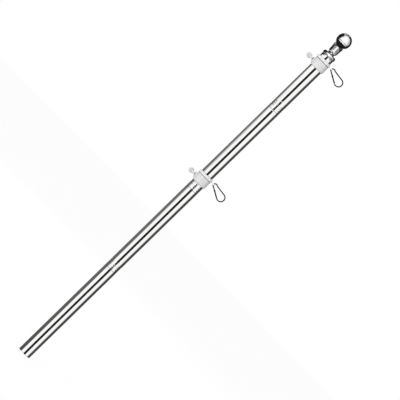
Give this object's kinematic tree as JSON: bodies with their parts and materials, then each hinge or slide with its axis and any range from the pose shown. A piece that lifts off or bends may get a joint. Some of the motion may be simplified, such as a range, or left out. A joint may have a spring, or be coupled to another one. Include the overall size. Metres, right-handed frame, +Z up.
{
  "type": "flagpole",
  "caption": "Sectional flagpole of polished steel tube with a ball finial and white clamp rings whose swivel collars carry spring clips for a flag",
  "frame": {"origin": "centre of the cut end of the lowest tube, where the pole goes into its holder", "axes": "+Z up the pole to the ball; the clips point along +X and the thumbscrews along -X"},
  "size_m": [0.0844, 0.0328, 0.8032],
  "materials": {
    "polished_steel": "polished stainless steel tube",
    "chrome_plate": "bright chrome plate",
    "white_plastic": "satin moulded",
    "black_plate": "black plated spring steel, glossy",
    "brass_insert": "plain machined",
    "zinc_steel": "bright zinc plate"
  },
  "bodies": {
    "pole": {"pole_section_1": "polished_steel", "pole_section_2": "polished_steel", "pole_section_3": "polished_steel", "pole_section_4": "polished_steel", "finial_base": "chrome_plate", "finial_neck": "chrome_plate", "finial_ball": "chrome_plate"},
    "lower_ring": {"lower_ring_body": "white_plastic", "lower_ring_cap": "white_plastic", "lower_ring_nut": "brass_insert"},
    "lower_thumbscrew": {"lower_screw_shank": "zinc_steel", "lower_screw_head": "white_plastic"},
    "lower_swivel": {"lower_collar": "white_plastic"},
    "lower_clip": {"lower_clip_hook": "black_plate", "lower_clip_pin": "zinc_steel"},
    "lower_gate": {"lower_clip_gate": "black_plate"},
    "upper_ring": {"upper_ring_body": "white_plastic", "upper_ring_cap": "white_plastic", "upper_ring_nut": "brass_insert"},
    "upper_thumbscrew": {"upper_screw_shank": "zinc_steel", "upper_screw_head": "white_plastic"},
    "upper_swivel": {"upper_collar": "white_plastic"},
    "upper_clip": {"upper_clip_hook": "black_plate", "upper_clip_pin": "zinc_steel"},
    "upper_gate": {"upper_clip_gate": "black_plate"}
  },
  "joints": [
    {"name": "lower_ring_slide", "type": "slide", "parent": "pole", "child": "lower_ring", "axis": [0, 0, 1], "range_m": [-0.3405, 0.263]},
    {"name": "lower_thumbscrew_turn", "type": "hinge", "parent": "lower_ring", "child": "lower_thumbscrew", "pos_m": [-0.01642, -0.0044, 0.4384], "axis": [-0.9659, -0.2588, 0], "range_deg": [0, 540]},
    {"name": "lower_collar_spin", "type": "hinge", "parent": "lower_ring", "child": "lower_swivel", "pos_m": [0, 0, 0.4486], "axis": [0, 0, 1], "continuous": true},
    {"name": "lower_clip_swing", "type": "hinge", "parent": "lower_swivel", "child": "lower_clip", "pos_m": [0.023, 0, 0.4486], "axis": [0, 1, 0], "range_deg": [-92, 57]},
    {"name": "lower_gate_open", "type": "hinge", "parent": "lower_clip", "child": "lower_gate", "pos_m": [0.04213, 0, 0.43487], "axis": [0, 1, 0], "range_deg": [0, 20], "stiffness_Nm_per_rad": 0.005, "springref_deg": -57.3},
    {"name": "upper_ring_slide", "type": "slide", "parent": "pole", "child": "upper_ring", "axis": [0, 0, 1], "range_m": [-0.263, 0.0073]},
    {"name": "upper_thumbscrew_turn", "type": "hinge", "parent": "upper_ring", "child": "upper_thumbscrew", "pos_m": [-0.01642, -0.0044, 0.728], "axis": [-0.9659, -0.2588, 0], "range_deg": [0, 540]},
    {"name": "upper_collar_spin", "type": "hinge", "parent": "upper_ring", "child": "upper_swivel", "pos_m": [0, 0, 0.7382], "axis": [0, 0, 1], "continuous": true},
    {"name": "upper_clip_swing", "type": "hinge", "parent": "upper_swivel", "child": "upper_clip", "pos_m": [0.023, 0, 0.7382], "axis": [0, -1, 0], "range_deg": [-57, 92]},
    {"name": "upper_gate_open", "type": "hinge", "parent": "upper_clip", "child": "upper_gate", "pos_m": [0.04213, 0, 0.72447], "axis": [0, 1, 0], "range_deg": [0, 20], "stiffness_Nm_per_rad": 0.005, "springref_deg": -57.3}
  ]
}
